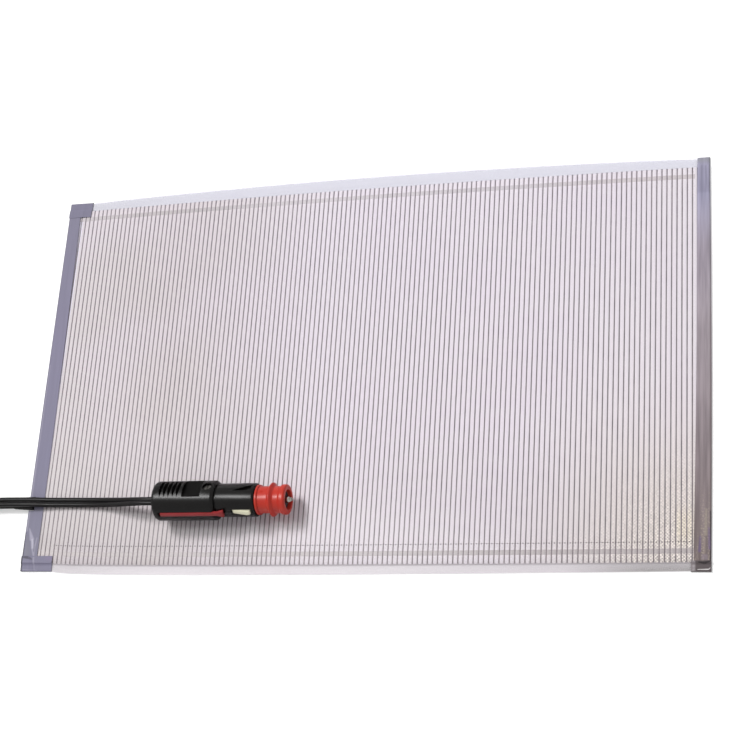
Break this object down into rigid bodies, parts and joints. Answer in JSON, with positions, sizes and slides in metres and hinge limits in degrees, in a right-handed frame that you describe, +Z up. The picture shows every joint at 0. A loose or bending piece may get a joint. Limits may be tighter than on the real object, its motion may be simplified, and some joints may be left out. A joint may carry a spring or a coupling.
{
  "type": "heated mat",
  "caption": "Thin heated mat: fine heating threads across a woven carrier between clear films, taped edges, flat twin cord and a vehicle power plug with a pull-off adapter sleeve.",
  "frame": {"origin": "bottom centre of the mat, without the cord and the plug", "axes": "+X along the mat's long side, from the cord's end to the plain end; +Z up through the warm face"},
  "size_m": [0.5819, 0.3074, 0.0268],
  "materials": {
    "clear_film": "clear, slightly milky, glossy",
    "white_fabric": "plain woven, off-white",
    "heating_yarn": "dark twisted yarn",
    "tinned_copper": "tinned woven strip, dull",
    "binding_tape": "dark grey-violet, slightly glossy",
    "lead_insulation": "smooth",
    "black_cord": "smooth, satin",
    "black_plastic": "moulded, satin",
    "red_plastic": "moulded, glossy",
    "contact_metal": "plated, pale",
    "chrome": "bright",
    "glass": "clear"
  },
  "bodies": {
    "mat": {"back_film": "clear_film", "cover_film": "clear_film", "carrier_fabric": "white_fabric", "heating_threads": "heating_yarn", "front_busbar": "tinned_copper", "rear_busbar": "tinned_copper", "front_crimp": "tinned_copper", "rear_crimp": "tinned_copper", "left_end_tape": "binding_tape", "right_end_tape": "binding_tape", "rear_left_corner_tape": "binding_tape", "front_left_corner_tape": "binding_tape", "front_right_corner_tape": "binding_tape", "front_lead": "lead_insulation", "rear_lead": "lead_insulation", "cord_boot": "black_cord", "cord_mat_side": "black_cord", "cord_coil": "black_cord", "coil_tie": "black_cord", "cord_plug_side": "black_cord", "cord_end": "black_cord", "plug_shell_upper": "black_plastic", "plug_shell_lower": "black_plastic", "shell_screw": "chrome", "cord_clamp": "black_plastic", "plug_nose": "black_plastic", "tip_spring": "chrome", "fuse_cap_front": "contact_metal", "fuse_cap_rear": "contact_metal", "fuse_glass": "glass", "fuse_wire": "contact_metal", "fuse_seat": "contact_metal", "contact_bridge": "contact_metal", "live_core": "lead_insulation", "ground_core": "lead_insulation"},
    "tip": {"tip_contact": "chrome"},
    "sleeve": {"adapter_sleeve": "red_plastic"},
    "lock": {"lock_slide": "red_plastic"},
    "front_contact": {"side_contact_front": "contact_metal"},
    "rear_contact": {"side_contact_rear": "contact_metal"}
  },
  "joints": [
    {"name": "tip_press", "type": "slide", "parent": "mat", "child": "tip", "axis": [-1, 0, 0], "range_m": [0, 0.0025], "stiffness_N_per_m": 800, "springref_m": -0.003, "deforming": ["tip_spring"]},
    {"name": "front_contact_press", "type": "hinge", "parent": "mat", "child": "front_contact", "pos_m": [-0.0788, -0.09695, 0.01884], "axis": [0, 0.5225, 0.8526], "range_deg": [0, 5.4], "stiffness_Nm_per_rad": 0.5, "springref_deg": -1.72},
    {"name": "rear_contact_press", "type": "hinge", "parent": "mat", "child": "rear_contact", "pos_m": [-0.0788, -0.08245, 0.00996], "axis": [0, -0.5225, -0.8526], "range_deg": [0, 5.4], "stiffness_Nm_per_rad": 0.5, "springref_deg": -1.72},
    {"name": "sleeve_pull", "type": "slide", "parent": "mat", "child": "sleeve", "axis": [1, 0, 0], "range_m": [0, 0.021]},
    {"name": "lock_push", "type": "slide", "parent": "mat", "child": "lock", "axis": [-1, 0, 0], "range_m": [0, 0.0012]}
  ]
}
